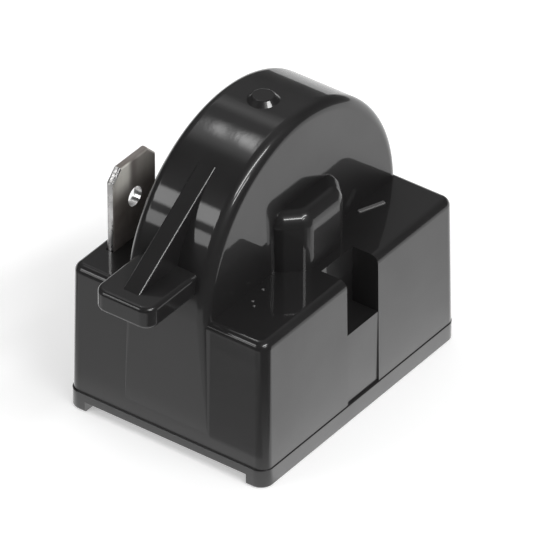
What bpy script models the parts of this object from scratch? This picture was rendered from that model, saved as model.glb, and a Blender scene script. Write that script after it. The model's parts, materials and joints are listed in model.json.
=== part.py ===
"""Plug-on PTC start relay for a small hermetic compressor, modelled piece by piece.

The relay stands on its base. The moulded housing is open underneath and holds an
upright ceramic pill in its half-round dome. Two steel leaf springs press on the
faces of the pill. Two sleeves over the holes in the base take the compressor's
start and run pins, and a 6.3 mm blade leaves through the roof for the supply lead.

Axes: +Z up, X along the box, the gusseted tongue points to -X, and the face with
the notch looks to -Y. All sizes are written in millimetres and built in metres.
"""

import math

import bmesh
import bpy
from mathutils import Vector

MM = 0.001

# Clearance kept between separate pieces.
GAP = 0.3

# Box of the housing. Its width follows from the pocket and the bay on each side of it.
BOX_LENGTH = 28.5
SIDE_BAY_WIDTH = 5.82
SEAM_HEIGHT = 1.9
HOUSING_TOP = 15.15
WALL = 1.15
MOULD_DRAFT = 0.2
CORNER_RADIUS = 1.1
TOP_FILLET = 0.8

# Base cover that closes the housing from below.
COVER_PROUD = 0.2
FOOT_WIDTH = 2.0
FOOT_HEIGHT = 1.1
LIP_THICKNESS = 0.9
LIP_HEIGHT = 0.8

# Half-round dome over the pill, axis along Y.
DOME_RADIUS = 14.15
DOME_AXIS_HEIGHT = 14.88
DOME_CENTRE_X = -0.28
DOME_THICKNESS_TOP = 8.56
DOME_FACE_DRAFT_DEG = 1.0
DOME_EDGE_FILLET = 1.1
DOME_WALL = 1.2
COLUMN_FOOT_HEIGHT = 3.4
COLUMN_FOOT_SINK = 0.02
LOCATING_RIB_WIDTH = 1.2
LOCATING_RIB_ANGLE_DEG = 50.0
BULKHEAD = 0.65

# Tongue and gusset at the -X end of the dome.
TONGUE_TOP = 19.5
TONGUE_THICKNESS = 2.2
TONGUE_REACH = 6.3
TONGUE_ROOT = 3.8
TONGUE_WIDTH = 6.15
TONGUE_CORNER_RADIUS = 1.2
TONGUE_FILLET = 0.45
GUSSET_WIDTH = 1.8
GUSSET_TOE_SETBACK = 1.45
GUSSET_SLOPE_DEG = 33.4
GUSSET_LENGTH = 11.0
GUSSET_FILLET = 0.2

# Boss on the -Y face of the dome.
BOSS_HEIGHT = 6.1
BOSS_FRONT_LENGTH = 5.3
BOSS_CHAMFER = 1.85
BOSS_REACH = 2.32
BOSS_FILLET = 0.75

# Notch in the top edge of the -Y face, with a shallow channel below it.
NOTCH_CENTRE_X = 0.3
NOTCH_WIDTH = 4.6
NOTCH_DEPTH = 2.95
NOTCH_HEIGHT = 5.8
NOTCH_WALL = 1.0
CHANNEL_DEPTH = 0.15

# Gate mark on the crown of the dome, a low round button.
GATE_X = 0.0
GATE_DIAMETER = 2.9
GATE_RISE = 0.45
GATE_FILLET = 0.4

# Compressor pins: hole positions in the base and the pin itself.
PIN_DIAMETER = 3.2
PIN_SPACING = 14.0
PIN_PLAY = 0.1
PIN_HOLE_PLAY = 0.4
PIN_COLLAR = 0.65

# Ceramic pill.
PILL_DIAMETER = 20.0
PILL_THICKNESS = 2.5
PILL_EDGE_CHAMFER = 0.25
SADDLE_HALF_LENGTH = 3.8
SADDLE_THICKNESS = 2.2

# Stamped terminals, 0.8 mm sheet.
SHEET = 0.8
TERMINAL_FLOOR = 3.2
BLADE_WIDTH = 6.3
BLADE_CENTRE_X = -7.35
BLADE_LENGTH = 8.25
BLADE_TIP_CHAMFER = 1.2
BLADE_BEVEL = 0.2
BLADE_HOLE_DIAMETER = 1.9
BLADE_HOLE_FROM_TIP = 4.05
STRAP_WIDTH = 5.2
ARM_WIDTH = 3.9
ARM_REACH_X = 2.6

# Sleeves for the pins and the steel clips round them.
SLEEVE_SHEET = 0.4
SLEEVE_HEIGHT = 7.6
SLEEVE_SLIT = 0.8
SLEEVE_FLANGE = 0.5
CLIP_SHEET = 0.2
CLIP_HEIGHT = 4.4
CLIP_LIFT = 1.5
CLIP_SLIT = 1.5

# Leaf springs and the rivets that hold their feet.
LEAF_SHEET = 0.35
LEAF_WIDTH = 7.6
LEAF_TOP_WIDTH = 5.0
LEAF_RISE_ABOVE_PILL_AXIS = 6.4
LEAF_NECK_WIDTH = 4.0
LEAF_FOOT_LENGTH = 3.2
RIVET_SHANK_DIAMETER = 1.6
RIVET_HEAD_DIAMETER = 2.8
RIVET_HEAD_HEIGHT = 0.6

# Facets.
ARC_STEPS = 40
FILLET_STEPS = 3
CORNER_STEPS = 4
ROUND_STEPS = 24

# Derived positions. The origin lies under the middle of the whole outline.
HALF_LENGTH = BOX_LENGTH / 2
OVERALL_MIN_X = -HALF_LENGTH - TONGUE_REACH
OVERALL_MAX_X = max(DOME_CENTRE_X + DOME_RADIUS, HALF_LENGTH + COVER_PROUD)
BODY_X = -(OVERALL_MIN_X + OVERALL_MAX_X) / 2
PILL_X = DOME_CENTRE_X
PILL_AXIS_HEIGHT = DOME_AXIS_HEIGHT
PILL_HALF = PILL_THICKNESS / 2
DOME_HALF_TOP = DOME_THICKNESS_TOP / 2
DOME_CROWN = DOME_AXIS_HEIGHT + DOME_RADIUS
DRAFT_SLOPE = math.tan(math.radians(DOME_FACE_DRAFT_DEG))
DOME_HALF_FOOT = DOME_HALF_TOP + DRAFT_SLOPE * (DOME_CROWN - HOUSING_TOP)
POCKET_HALF = DOME_HALF_TOP - DOME_WALL
INNER_Y = POCKET_HALF + BULKHEAD + SIDE_BAY_WIDTH
HALF_WIDTH = INNER_Y + WALL
CEILING = HOUSING_TOP - WALL
BULKHEAD_FOOT = TERMINAL_FLOOR + SHEET + LEAF_SHEET + 3 * GAP
BLADE_TIP = HOUSING_TOP + BLADE_LENGTH
PINS = {"start": PIN_SPACING / 2, "run": -PIN_SPACING / 2}
LEAF_BACK = POCKET_HALF - GAP - LEAF_SHEET
INNER_X = HALF_LENGTH - WALL
FRONT_BULKHEAD_Y = -POCKET_HALF - BULKHEAD
BACK_BULKHEAD_Y = POCKET_HALF + BULKHEAD
PIN_ROW_Y = FRONT_BULKHEAD_Y - SIDE_BAY_WIDTH / 2
BOSS_FRONT_Y = -DOME_HALF_TOP - BOSS_REACH
BLADE_FACE_Y = INNER_Y - GAP - SHEET
START_RIVET_Y = PIN_ROW_Y
RUN_RIVET_Y = BLADE_FACE_Y - GAP - LEAF_FOOT_LENGTH / 2 - 0.05


def material(name, colour, roughness, metallic):
    """Return a plain Principled material."""
    made = bpy.data.materials.new(name)
    made.use_nodes = True
    shader = made.node_tree.nodes["Principled BSDF"]
    shader.inputs["Base Color"].default_value = (*colour, 1.0)
    shader.inputs["Roughness"].default_value = roughness
    shader.inputs["Metallic"].default_value = metallic
    return made


def inset_outline(outline, distance):
    """Return a counter-clockwise outline moved inwards by a distance, with mitred corners."""
    moved = []
    count = len(outline)
    for i, (x, y) in enumerate(outline):
        before, after = outline[i - 1], outline[(i + 1) % count]
        d1 = Vector((x - before[0], y - before[1])).normalized()
        d2 = Vector((after[0] - x, after[1] - y)).normalized()
        n1, n2 = Vector((-d1.y, d1.x)), Vector((-d2.y, d2.x))
        mitre = (n1 + n2) / (1 + n1.dot(n2))
        moved.append((x + mitre.x * distance, y + mitre.y * distance))
    return moved


def rectangle(x0, x1, y0, y1):
    """Return a counter-clockwise rectangle."""
    return [(x0, y0), (x1, y0), (x1, y1), (x0, y1)]


def rounded_rectangle(x0, x1, y0, y1, radius, steps=CORNER_STEPS):
    """Return a counter-clockwise rectangle with arcs at its corners."""
    centres = [(x1 - radius, y0 + radius, -90), (x1 - radius, y1 - radius, 0),
               (x0 + radius, y1 - radius, 90), (x0 + radius, y0 + radius, 180)]
    points = []
    for cx, cy, start in centres:
        for i in range(steps + 1):
            angle = math.radians(start + 90 * i / steps)
            points.append((cx + radius * math.cos(angle), cy + radius * math.sin(angle)))
    return points


def circle(cx, cy, radius, steps=ROUND_STEPS):
    """Return a counter-clockwise circle."""
    return [(cx + radius * math.cos(2 * math.pi * i / steps),
             cy + radius * math.sin(2 * math.pi * i / steps)) for i in range(steps)]


def fillet_profile(low, high, low_fillet, high_fillet, steps=FILLET_STEPS):
    """Return (level, inset) pairs from low to high with quarter-round ends."""
    if low_fillet:
        levels = [(low + low_fillet * (1 - math.cos(math.pi / 2 * i / steps)),
                   low_fillet * (1 - math.sin(math.pi / 2 * i / steps))) for i in range(steps + 1)]
    else:
        levels = [(low, 0.0)]
    if high_fillet:
        levels += [(high - high_fillet * (1 - math.sin(math.pi / 2 * i / steps)),
                    high_fillet * (1 - math.cos(math.pi / 2 * i / steps))) for i in range(steps + 1)]
    else:
        levels.append((high, 0.0))
    return levels


def loft(rings):
    """Return a closed mesh through rings of equal length, with both ends capped."""
    mesh = bmesh.new()
    loops = [[mesh.verts.new(Vector(p) * MM) for p in ring] for ring in rings]
    count = len(loops[0])
    for lower, upper in zip(loops, loops[1:]):
        for i in range(count):
            j = (i + 1) % count
            mesh.faces.new((lower[i], lower[j], upper[j], upper[i]))
    mesh.faces.new(list(reversed(loops[0])))
    mesh.faces.new(loops[-1])
    bmesh.ops.recalc_face_normals(mesh, faces=mesh.faces)
    return mesh


def upright(outline, low, high, low_fillet=0.0, high_fillet=0.0):
    """Extrude an XY outline along Z, with rounded lower and upper edges where asked."""
    return loft([[(x, y, z) for x, y in inset_outline(outline, inset)]
                 for z, inset in fillet_profile(low, high, low_fillet, high_fillet)])


def across(outline, low, high, fillet=0.0):
    """Extrude an XZ outline along Y, with rounded edges at both ends where asked."""
    return loft([[(x, y, z) for x, z in inset_outline(outline, inset)]
                 for y, inset in fillet_profile(low, high, fillet, fillet)])


def turned(profile, cx, cy, steps=ROUND_STEPS):
    """Spin a closed (radius, height) profile about a vertical axis at (cx, cy)."""
    mesh = bmesh.new()
    rings = []
    for i in range(steps):
        angle = 2 * math.pi * i / steps
        rings.append([mesh.verts.new(Vector((cx + r * math.cos(angle), cy + r * math.sin(angle), z)) * MM)
                      for r, z in profile])
    count = len(profile)
    for i in range(steps):
        here, there = rings[i], rings[(i + 1) % steps]
        for j in range(count):
            k = (j + 1) % count
            mesh.faces.new((here[j], there[j], there[k], here[k]))
    bmesh.ops.recalc_face_normals(mesh, faces=mesh.faces)
    return mesh


def add_object(name, mesh, surface=None):
    """Turn a mesh into an object that rides on the relay's own empty."""
    data = bpy.data.meshes.new(name)
    mesh.to_mesh(data)
    mesh.free()
    made = bpy.data.objects.new(name, data)
    bpy.context.scene.collection.objects.link(made)
    made.parent = relay
    if surface:
        data.materials.append(surface)
    return made


def tool(name, mesh):
    """Make a helper solid that only shapes other pieces."""
    made = add_object(name, mesh)
    made.hide_render = True
    made.display_type = "WIRE"
    return made


def combine(target, operation, helper):
    """Add an exact Boolean to a piece."""
    step = target.modifiers.new(helper.name, "BOOLEAN")
    step.operation = operation
    step.solver = "EXACT"
    step.object = helper


def shade(piece, angle_deg=35.0):
    """Shade a piece smooth and keep its hard edges."""
    piece.data.shade_smooth()
    piece.data.set_sharp_from_angle(angle=math.radians(angle_deg))


def slab_outline(radius, foot_x0, foot_x1, foot_height):
    """Return the dome's XZ outline: half a disc that runs down into a tapered column."""
    arc = [(DOME_CENTRE_X + radius * math.cos(math.pi * i / ARC_STEPS),
            DOME_AXIS_HEIGHT + radius * math.sin(math.pi * i / ARC_STEPS))
           for i in range(ARC_STEPS + 1)]
    return [(foot_x0, foot_height), (foot_x1, foot_height)] + arc


def drafted_slab(outline, half_top, fillet, crown):
    """Loft a slab along Y whose faces lean inwards towards the crown."""
    rings = []
    for offset, inset in fillet_profile(-half_top, half_top, fillet, fillet):
        ring = []
        for x, z in inset_outline(outline, inset):
            drop = crown - max(z, HOUSING_TOP)
            reach = half_top + DRAFT_SLOPE * drop
            ring.append((x, offset + math.copysign(reach - half_top, offset), z))
        rings.append(ring)
    return loft(rings)


def build_housing(surface):
    """Mould the shell: box, dome, tongue, gusset and boss, hollow and open underneath."""
    low = SEAM_HEIGHT + GAP
    rings = []
    for z, inset in fillet_profile(low, HOUSING_TOP, 0.0, TOP_FILLET):
        inset += MOULD_DRAFT * (z - low) / (HOUSING_TOP - low)
        outline = rounded_rectangle(-HALF_LENGTH, HALF_LENGTH, -HALF_WIDTH, HALF_WIDTH, CORNER_RADIUS)
        rings.append([(x, y, z) for x, y in inset_outline(outline, inset)])
    housing = add_object("housing", loft(rings), surface)

    dome = slab_outline(DOME_RADIUS, -HALF_LENGTH + COLUMN_FOOT_SINK,
                        DOME_CENTRE_X + DOME_RADIUS, COLUMN_FOOT_HEIGHT)
    combine(housing, "UNION", tool("dome", drafted_slab(dome, DOME_HALF_TOP, DOME_EDGE_FILLET, DOME_CROWN)))

    tip = -HALF_LENGTH - TONGUE_REACH
    tongue = rounded_rectangle(tip, tip + TONGUE_REACH + TONGUE_ROOT, -TONGUE_WIDTH / 2,
                               TONGUE_WIDTH / 2, TONGUE_CORNER_RADIUS)
    combine(housing, "UNION", tool("tongue", upright(
        tongue, TONGUE_TOP - TONGUE_THICKNESS, TONGUE_TOP, TONGUE_FILLET, TONGUE_FILLET)))

    toe = tip + GUSSET_TOE_SETBACK
    root = toe + GUSSET_LENGTH
    gusset = [(toe, TONGUE_TOP - 0.6 * TONGUE_THICKNESS), (root, TONGUE_TOP - 0.6 * TONGUE_THICKNESS),
              (root, TONGUE_TOP + (root - toe) * math.tan(math.radians(GUSSET_SLOPE_DEG))),
              (toe, TONGUE_TOP)]
    combine(housing, "UNION", tool("gusset", across(
        gusset, -GUSSET_WIDTH / 2, GUSSET_WIDTH / 2, GUSSET_FILLET)))

    front = BOSS_FRONT_LENGTH / 2
    shoulder = front + BOSS_CHAMFER
    inside_y = -DOME_HALF_TOP + DOME_WALL / 2
    half_plan = [(front, BOSS_FRONT_Y), (shoulder, BOSS_FRONT_Y + BOSS_CHAMFER), (shoulder, inside_y)]
    boss = half_plan + [(-x, y) for x, y in reversed(half_plan)]
    combine(housing, "UNION", tool("boss", upright(
        boss, HOUSING_TOP - WALL / 2, HOUSING_TOP + BOSS_HEIGHT, 0.0, BOSS_FILLET)))

    notch_floor = HOUSING_TOP - NOTCH_HEIGHT
    notch = rectangle(NOTCH_CENTRE_X - NOTCH_WIDTH / 2, NOTCH_CENTRE_X + NOTCH_WIDTH / 2,
                      -HALF_WIDTH - 2, -HALF_WIDTH + NOTCH_DEPTH)
    combine(housing, "DIFFERENCE", tool("notch_cut", upright(notch, notch_floor, HOUSING_TOP + 1)))
    channel = rectangle(NOTCH_CENTRE_X - NOTCH_WIDTH / 2, NOTCH_CENTRE_X + NOTCH_WIDTH / 2,
                        -HALF_WIDTH - 2, -HALF_WIDTH + CHANNEL_DEPTH)
    combine(housing, "DIFFERENCE", tool("channel_cut", upright(channel, low - 1, notch_floor + 0.5)))

    lobby = rounded_rectangle(-INNER_X, INNER_X, -INNER_Y, INNER_Y, CORNER_RADIUS, 2)
    combine(housing, "DIFFERENCE", tool("lobby_cut", upright(lobby, low - 1, BULKHEAD_FOOT)))

    pocket_radius = DOME_RADIUS - DOME_WALL
    pocket = slab_outline(pocket_radius, DOME_CENTRE_X - pocket_radius, DOME_CENTRE_X + pocket_radius, low - 0.5)
    combine(housing, "DIFFERENCE", tool("pocket_cut", across(
        pocket, -POCKET_HALF, POCKET_HALF)))

    block = (NOTCH_CENTRE_X - NOTCH_WIDTH / 2 - NOTCH_WALL, NOTCH_CENTRE_X + NOTCH_WIDTH / 2 + NOTCH_WALL)
    for name, x0, x1 in (("run_bay_cut", -INNER_X, block[0]), ("start_bay_cut", block[1], INNER_X)):
        combine(housing, "DIFFERENCE", tool(name, upright(
            rectangle(x0, x1, -INNER_Y, FRONT_BULKHEAD_Y), low - 0.7, CEILING)))
    combine(housing, "DIFFERENCE", tool("spring_bay_cut", upright(
        rectangle(block[0] - 1, block[1] + 1, -INNER_Y + 0.1, FRONT_BULKHEAD_Y - 0.1),
        low - 0.8, notch_floor - NOTCH_WALL)))
    combine(housing, "DIFFERENCE", tool("blade_bay_cut", upright(
        rectangle(-INNER_X, INNER_X, BACK_BULKHEAD_Y, INNER_Y), low - 0.9, CEILING)))

    slot = rectangle(BLADE_CENTRE_X - BLADE_WIDTH / 2 - GAP, BLADE_CENTRE_X + BLADE_WIDTH / 2 + GAP,
                     BLADE_FACE_Y - GAP, BLADE_FACE_Y + SHEET + GAP)
    combine(housing, "DIFFERENCE", tool("slot_cut", upright(slot, CEILING - 1, HOUSING_TOP + 1)))

    for name, angle in (("left_rib", 180 - LOCATING_RIB_ANGLE_DEG), ("right_rib", LOCATING_RIB_ANGLE_DEG)):
        turn = math.radians(angle)
        along, side = Vector((math.cos(turn), math.sin(turn))), Vector((-math.sin(turn), math.cos(turn)))
        corners = []
        for reach, edge in ((PILL_DIAMETER / 2 + GAP, 1), (PILL_DIAMETER / 2 + GAP, -1),
                            (DOME_RADIUS - DOME_WALL / 2, -1), (DOME_RADIUS - DOME_WALL / 2, 1)):
            p = along * reach + side * edge * LOCATING_RIB_WIDTH / 2
            corners.append((DOME_CENTRE_X + p.x, DOME_AXIS_HEIGHT + p.y))
        combine(housing, "UNION", tool(name, across(
            corners, -POCKET_HALF - DOME_WALL / 2, POCKET_HALF + DOME_WALL / 2)))

    gate = circle(GATE_X, 0.0, GATE_DIAMETER / 2, 20)
    combine(housing, "UNION", tool("gate", upright(
        gate, DOME_CROWN - DOME_WALL / 2, DOME_CROWN + GATE_RISE, 0.0, GATE_FILLET)))
    shade(housing)
    return housing


def build_cover(surface):
    """Mould the base: a thin plate on two side rails, with a locating lip and a saddle for the pill."""
    half_x, half_y = HALF_LENGTH + COVER_PROUD, HALF_WIDTH + COVER_PROUD
    cover = add_object("base_cover", upright(rounded_rectangle(
        -half_x, half_x, -half_y, half_y, CORNER_RADIUS + COVER_PROUD), 0.0, SEAM_HEIGHT, 0.25), surface)
    channel = rectangle(-half_x - 1, half_x + 1, -half_y + FOOT_WIDTH, half_y - FOOT_WIDTH)
    combine(cover, "DIFFERENCE", tool("underside_cut", upright(channel, -1.0, FOOT_HEIGHT)))

    lip_x, lip_y = INNER_X - GAP, INNER_Y - GAP
    outer = rounded_rectangle(-lip_x, lip_x, -lip_y, lip_y, CORNER_RADIUS - GAP, 2)
    combine(cover, "UNION", tool("lip", upright(outer, SEAM_HEIGHT - 0.4, SEAM_HEIGHT + LIP_HEIGHT)))
    inner = inset_outline(outer, LIP_THICKNESS)
    combine(cover, "DIFFERENCE", tool("lip_cut", upright(inner, SEAM_HEIGHT, SEAM_HEIGHT + LIP_HEIGHT + 1)))

    reach = PILL_DIAMETER / 2 + GAP
    seat = []
    for i in range(9):
        x = SADDLE_HALF_LENGTH * (1 - 2 * i / 8)
        seat.append((PILL_X + x, PILL_AXIS_HEIGHT - math.sqrt(reach ** 2 - x ** 2)))
    saddle = [(PILL_X - SADDLE_HALF_LENGTH, SEAM_HEIGHT - 0.4),
              (PILL_X + SADDLE_HALF_LENGTH, SEAM_HEIGHT - 0.4)] + seat
    combine(cover, "UNION", tool("saddle", across(
        saddle, -SADDLE_THICKNESS / 2, SADDLE_THICKNESS / 2)))

    collar = PIN_DIAMETER / 2 + PIN_HOLE_PLAY + PIN_COLLAR
    for side, x in PINS.items():
        combine(cover, "UNION", tool(side + "_collar", upright(
            circle(x, PIN_ROW_Y, collar), SEAM_HEIGHT - 0.4, TERMINAL_FLOOR - GAP)))
        combine(cover, "DIFFERENCE", tool(side + "_pin_hole", upright(
            circle(x, PIN_ROW_Y, PIN_DIAMETER / 2 + PIN_HOLE_PLAY), -1.0, TERMINAL_FLOOR + 1)))
    shade(cover)
    return cover


def build_pill(surface):
    """Press the ceramic pill: a thin upright disc with broken edges."""
    rings = []
    for offset, inset in ((-PILL_HALF, PILL_EDGE_CHAMFER), (-PILL_HALF + PILL_EDGE_CHAMFER, 0.0),
                          (PILL_HALF - PILL_EDGE_CHAMFER, 0.0), (PILL_HALF, PILL_EDGE_CHAMFER)):
        rings.append([(x, offset, z)
                      for x, z in circle(PILL_X, PILL_AXIS_HEIGHT, PILL_DIAMETER / 2 - inset, 48)])
    pill = add_object("ptc_pill", loft(rings), surface)
    shade(pill)
    return pill


def build_line_terminal(surface):
    """Stamp and fold the supply terminal: blade, riser, strap under the pill and spring arm."""
    x0, x1 = BLADE_CENTRE_X - BLADE_WIDTH / 2, BLADE_CENTRE_X + BLADE_WIDTH / 2
    tip, corner = BLADE_TIP, BLADE_TIP_CHAMFER
    blade = [(x0, TERMINAL_FLOOR), (x1, TERMINAL_FLOOR), (x1, tip - corner), (x1 - corner, tip),
             (x0 + corner, tip), (x0, tip - corner)]
    rings = []
    for y, inset in ((0.0, BLADE_BEVEL), (BLADE_BEVEL, 0.0), (SHEET - BLADE_BEVEL, 0.0), (SHEET, BLADE_BEVEL)):
        rings.append([(x, BLADE_FACE_Y + y, z) for x, z in inset_outline(blade, inset)])
    terminal = add_object("line_terminal", loft(rings), surface)

    pin_x = PINS["run"]
    strap_half = STRAP_WIDTH / 2
    arm_y0 = BLADE_FACE_Y + SHEET / 2 - ARM_WIDTH
    foot = [(pin_x - strap_half, PIN_ROW_Y - strap_half), (pin_x + strap_half, PIN_ROW_Y - strap_half),
            (pin_x + strap_half, arm_y0), (ARM_REACH_X, arm_y0), (ARM_REACH_X, BLADE_FACE_Y + SHEET / 2),
            (pin_x - strap_half, BLADE_FACE_Y + SHEET / 2)]
    combine(terminal, "UNION", tool("line_strap", upright(foot, TERMINAL_FLOOR, TERMINAL_FLOOR + SHEET)))
    combine(terminal, "DIFFERENCE", tool("run_strap_hole", upright(
        circle(pin_x, PIN_ROW_Y, PIN_DIAMETER / 2 + PIN_PLAY), TERMINAL_FLOOR - 1, TERMINAL_FLOOR + 2)))
    combine(terminal, "DIFFERENCE", tool("run_rivet_hole", upright(
        circle(PILL_X, RUN_RIVET_Y, RIVET_SHANK_DIAMETER / 2 + GAP, 16), TERMINAL_FLOOR - 1, TERMINAL_FLOOR + 2)))
    combine(terminal, "DIFFERENCE", tool("blade_hole", across(
        circle(BLADE_CENTRE_X, BLADE_TIP - BLADE_HOLE_FROM_TIP, BLADE_HOLE_DIAMETER / 2),
        BLADE_FACE_Y - 1, BLADE_FACE_Y + SHEET + 1)))
    shade(terminal, 20.0)
    return terminal


def build_start_terminal(surface):
    """Stamp the flat strip that joins the start sleeve to the start spring."""
    pin_x = PINS["start"]
    half = STRAP_WIDTH / 2
    strip = [(-ARM_REACH_X, START_RIVET_Y - ARM_WIDTH / 2), (pin_x - half, START_RIVET_Y - ARM_WIDTH / 2),
             (pin_x - half, PIN_ROW_Y - half), (pin_x + half, PIN_ROW_Y - half),
             (pin_x + half, PIN_ROW_Y + half), (pin_x - half, PIN_ROW_Y + half),
             (pin_x - half, START_RIVET_Y + ARM_WIDTH / 2), (-ARM_REACH_X, START_RIVET_Y + ARM_WIDTH / 2)]
    terminal = add_object("start_terminal", upright(strip, TERMINAL_FLOOR, TERMINAL_FLOOR + SHEET), surface)
    combine(terminal, "DIFFERENCE", tool("start_strap_hole", upright(
        circle(pin_x, PIN_ROW_Y, PIN_DIAMETER / 2 + PIN_PLAY), TERMINAL_FLOOR - 1, TERMINAL_FLOOR + 2)))
    combine(terminal, "DIFFERENCE", tool("start_rivet_hole", upright(
        circle(PILL_X, START_RIVET_Y, RIVET_SHANK_DIAMETER / 2 + GAP, 16), TERMINAL_FLOOR - 1, TERMINAL_FLOOR + 2)))
    shade(terminal, 20.0)
    return terminal


def slit_ring(cx, cy, inner, outer, low, high, slit, facing, steps=ROUND_STEPS):
    """Return a rolled sleeve whose slit faces a direction given in degrees."""
    half = math.asin(min(0.9, slit / 2 / outer))
    start, sweep = math.radians(facing) + half, 2 * math.pi - 2 * half
    angles = [start + sweep * i / steps for i in range(steps + 1)]
    outline = [(cx + outer * math.cos(a), cy + outer * math.sin(a)) for a in angles]
    outline += [(cx + inner * math.cos(a), cy + inner * math.sin(a)) for a in reversed(angles)]
    return loft([[(x, y, low) for x, y in outline], [(x, y, high) for x, y in outline]])


def build_sleeve(side, surface):
    """Roll one pin sleeve, with a collar that seats on the strip below it."""
    x = PINS[side]
    bore = PIN_DIAMETER / 2 + PIN_PLAY
    low = TERMINAL_FLOOR + SHEET + GAP
    sleeve = add_object(side + "_pin_sleeve", slit_ring(
        x, PIN_ROW_Y, bore, bore + SLEEVE_SHEET, low, low + SLEEVE_HEIGHT, SLEEVE_SLIT, 90), surface)
    collar = slit_ring(x, PIN_ROW_Y, bore + SLEEVE_SHEET / 2, bore + SLEEVE_SHEET + SLEEVE_FLANGE,
                       low, low + SLEEVE_SHEET, SLEEVE_SLIT + 0.2, 90)
    combine(sleeve, "UNION", tool(side + "_collar_ring", collar))
    shade(sleeve)
    return sleeve


def build_clip(side, surface):
    """Bend the spring-steel clip that squeezes one sleeve on its pin."""
    x = PINS[side]
    inner = PIN_DIAMETER / 2 + PIN_PLAY + SLEEVE_SHEET + GAP
    low = TERMINAL_FLOOR + SHEET + GAP + SLEEVE_SHEET + CLIP_LIFT
    clip = add_object(side + "_sleeve_clip", slit_ring(
        x, PIN_ROW_Y, inner, inner + CLIP_SHEET, low, low + CLIP_HEIGHT, CLIP_SLIT, -90), surface)
    shade(clip)
    return clip


def leaf_path(sign):
    """Return the leaf's centre line as (y, z) points, from its foot up to its free end.

    The leaf leaves its foot, passes under the bulkhead, climbs beside the wall of the
    pocket and bows out twice so that its crests meet the face of the pill.
    """
    wall = LEAF_BACK + LEAF_SHEET / 2
    crest = PILL_HALF + GAP + LEAF_SHEET / 2
    floor = TERMINAL_FLOOR + SHEET + GAP + LEAF_SHEET / 2
    outer = abs(RUN_RIVET_Y if sign > 0 else START_RIVET_Y) + LEAF_FOOT_LENGTH / 2
    base = PILL_AXIS_HEIGHT - LEAF_RISE_ABOVE_PILL_AXIS
    top = PILL_AXIS_HEIGHT + LEAF_RISE_ABOVE_PILL_AXIS
    path = [(outer, floor), (wall + 0.5, floor), (wall, floor + 0.5), (wall, base)]
    waves = 16
    for i in range(1, waves + 1):
        z = base + (top - base) * i / waves
        swing = (1 - math.cos(4 * math.pi * i / waves)) / 2
        path.append((wall - (wall - crest) * swing, z))
    return [(sign * y, z) for y, z in path]


def build_leaf(name, sign, surface):
    """Form one leaf spring from a centre line of constant sheet thickness."""
    path = leaf_path(sign)
    count = len(path)
    mesh = bmesh.new()
    rings = []
    for i, (y, z) in enumerate(path):
        ahead = Vector(path[min(i + 1, count - 1)]) - Vector(path[i])
        behind = Vector(path[i]) - Vector(path[max(i - 1, 0)])
        d1 = behind.normalized() if i else ahead.normalized()
        d2 = ahead.normalized() if i < count - 1 else behind.normalized()
        n1, n2 = Vector((-d1.y, d1.x)), Vector((-d2.y, d2.x))
        mitre = (n1 + n2) / (1 + n1.dot(n2)) * LEAF_SHEET / 2
        if i < 4:
            half = LEAF_NECK_WIDTH / 2
        else:
            share = (i - 4) / (count - 5)
            half = (LEAF_WIDTH + (LEAF_TOP_WIDTH - LEAF_WIDTH) * share) / 2
        rings.append([mesh.verts.new(Vector((PILL_X + x, y + s * mitre.x, z + s * mitre.y)) * MM)
                      for x, s in ((-half, -1), (half, -1), (half, 1), (-half, 1))])
    for lower, upper in zip(rings, rings[1:]):
        for j in range(4):
            k = (j + 1) % 4
            mesh.faces.new((lower[j], lower[k], upper[k], upper[j]))
    mesh.faces.new(rings[0])
    mesh.faces.new(list(reversed(rings[-1])))
    bmesh.ops.recalc_face_normals(mesh, faces=mesh.faces)
    leaf = add_object(name, mesh, surface)
    rivet_y = RUN_RIVET_Y if sign > 0 else START_RIVET_Y
    combine(leaf, "DIFFERENCE", tool(name + "_hole", upright(
        circle(PILL_X, rivet_y, RIVET_SHANK_DIAMETER / 2 + GAP, 16),
        TERMINAL_FLOOR + SHEET, TERMINAL_FLOOR + SHEET + LEAF_SHEET + 3 * GAP)))
    shade(leaf, 25.0)
    return leaf


def build_rivet(name, y, surface):
    """Head one rivet on both sides of the strip and the spring's foot."""
    shank, head = RIVET_SHANK_DIAMETER / 2, RIVET_HEAD_DIAMETER / 2
    low = TERMINAL_FLOOR - GAP
    high = TERMINAL_FLOOR + SHEET + 2 * GAP + LEAF_SHEET
    profile = [(head * 0.8, low - RIVET_HEAD_HEIGHT), (head, low - RIVET_HEAD_HEIGHT / 2), (head, low),
               (shank, low), (shank, high),
               (head, high), (head, high + RIVET_HEAD_HEIGHT / 2), (head * 0.8, high + RIVET_HEAD_HEIGHT)]
    rings = [[(px, py, z) for px, py in circle(PILL_X, y, r, 20)] for r, z in profile]
    rivet = add_object(name, loft(rings), surface)
    shade(rivet)
    return rivet


for leftover in list(bpy.data.objects):
    bpy.data.objects.remove(leftover)

relay = bpy.data.objects.new("relay", None)
bpy.context.scene.collection.objects.link(relay)
relay.location = (BODY_X * MM, 0.0, 0.0)

shell = material("black_shell", (0.012, 0.012, 0.013), 0.12, 0.0)
base = material("black_base", (0.014, 0.014, 0.015), 0.2, 0.0)
ceramic = material("silvered_ceramic", (0.55, 0.55, 0.53), 0.45, 0.3)
tin = material("tinned_brass", (0.62, 0.6, 0.56), 0.3, 1.0)
steel = material("spring_steel", (0.5, 0.5, 0.5), 0.35, 1.0)
brass = material("brass", (0.7, 0.55, 0.28), 0.35, 1.0)

build_housing(shell)
build_cover(base)
build_pill(ceramic)
build_line_terminal(tin)
build_start_terminal(tin)
for pin in PINS:
    build_sleeve(pin, brass)
    build_clip(pin, steel)
build_leaf("run_contact_spring", 1, steel)
build_leaf("start_contact_spring", -1, steel)
build_rivet("run_spring_rivet", RUN_RIVET_Y, brass)
build_rivet("start_spring_rivet", START_RIVET_Y, brass)
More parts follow.
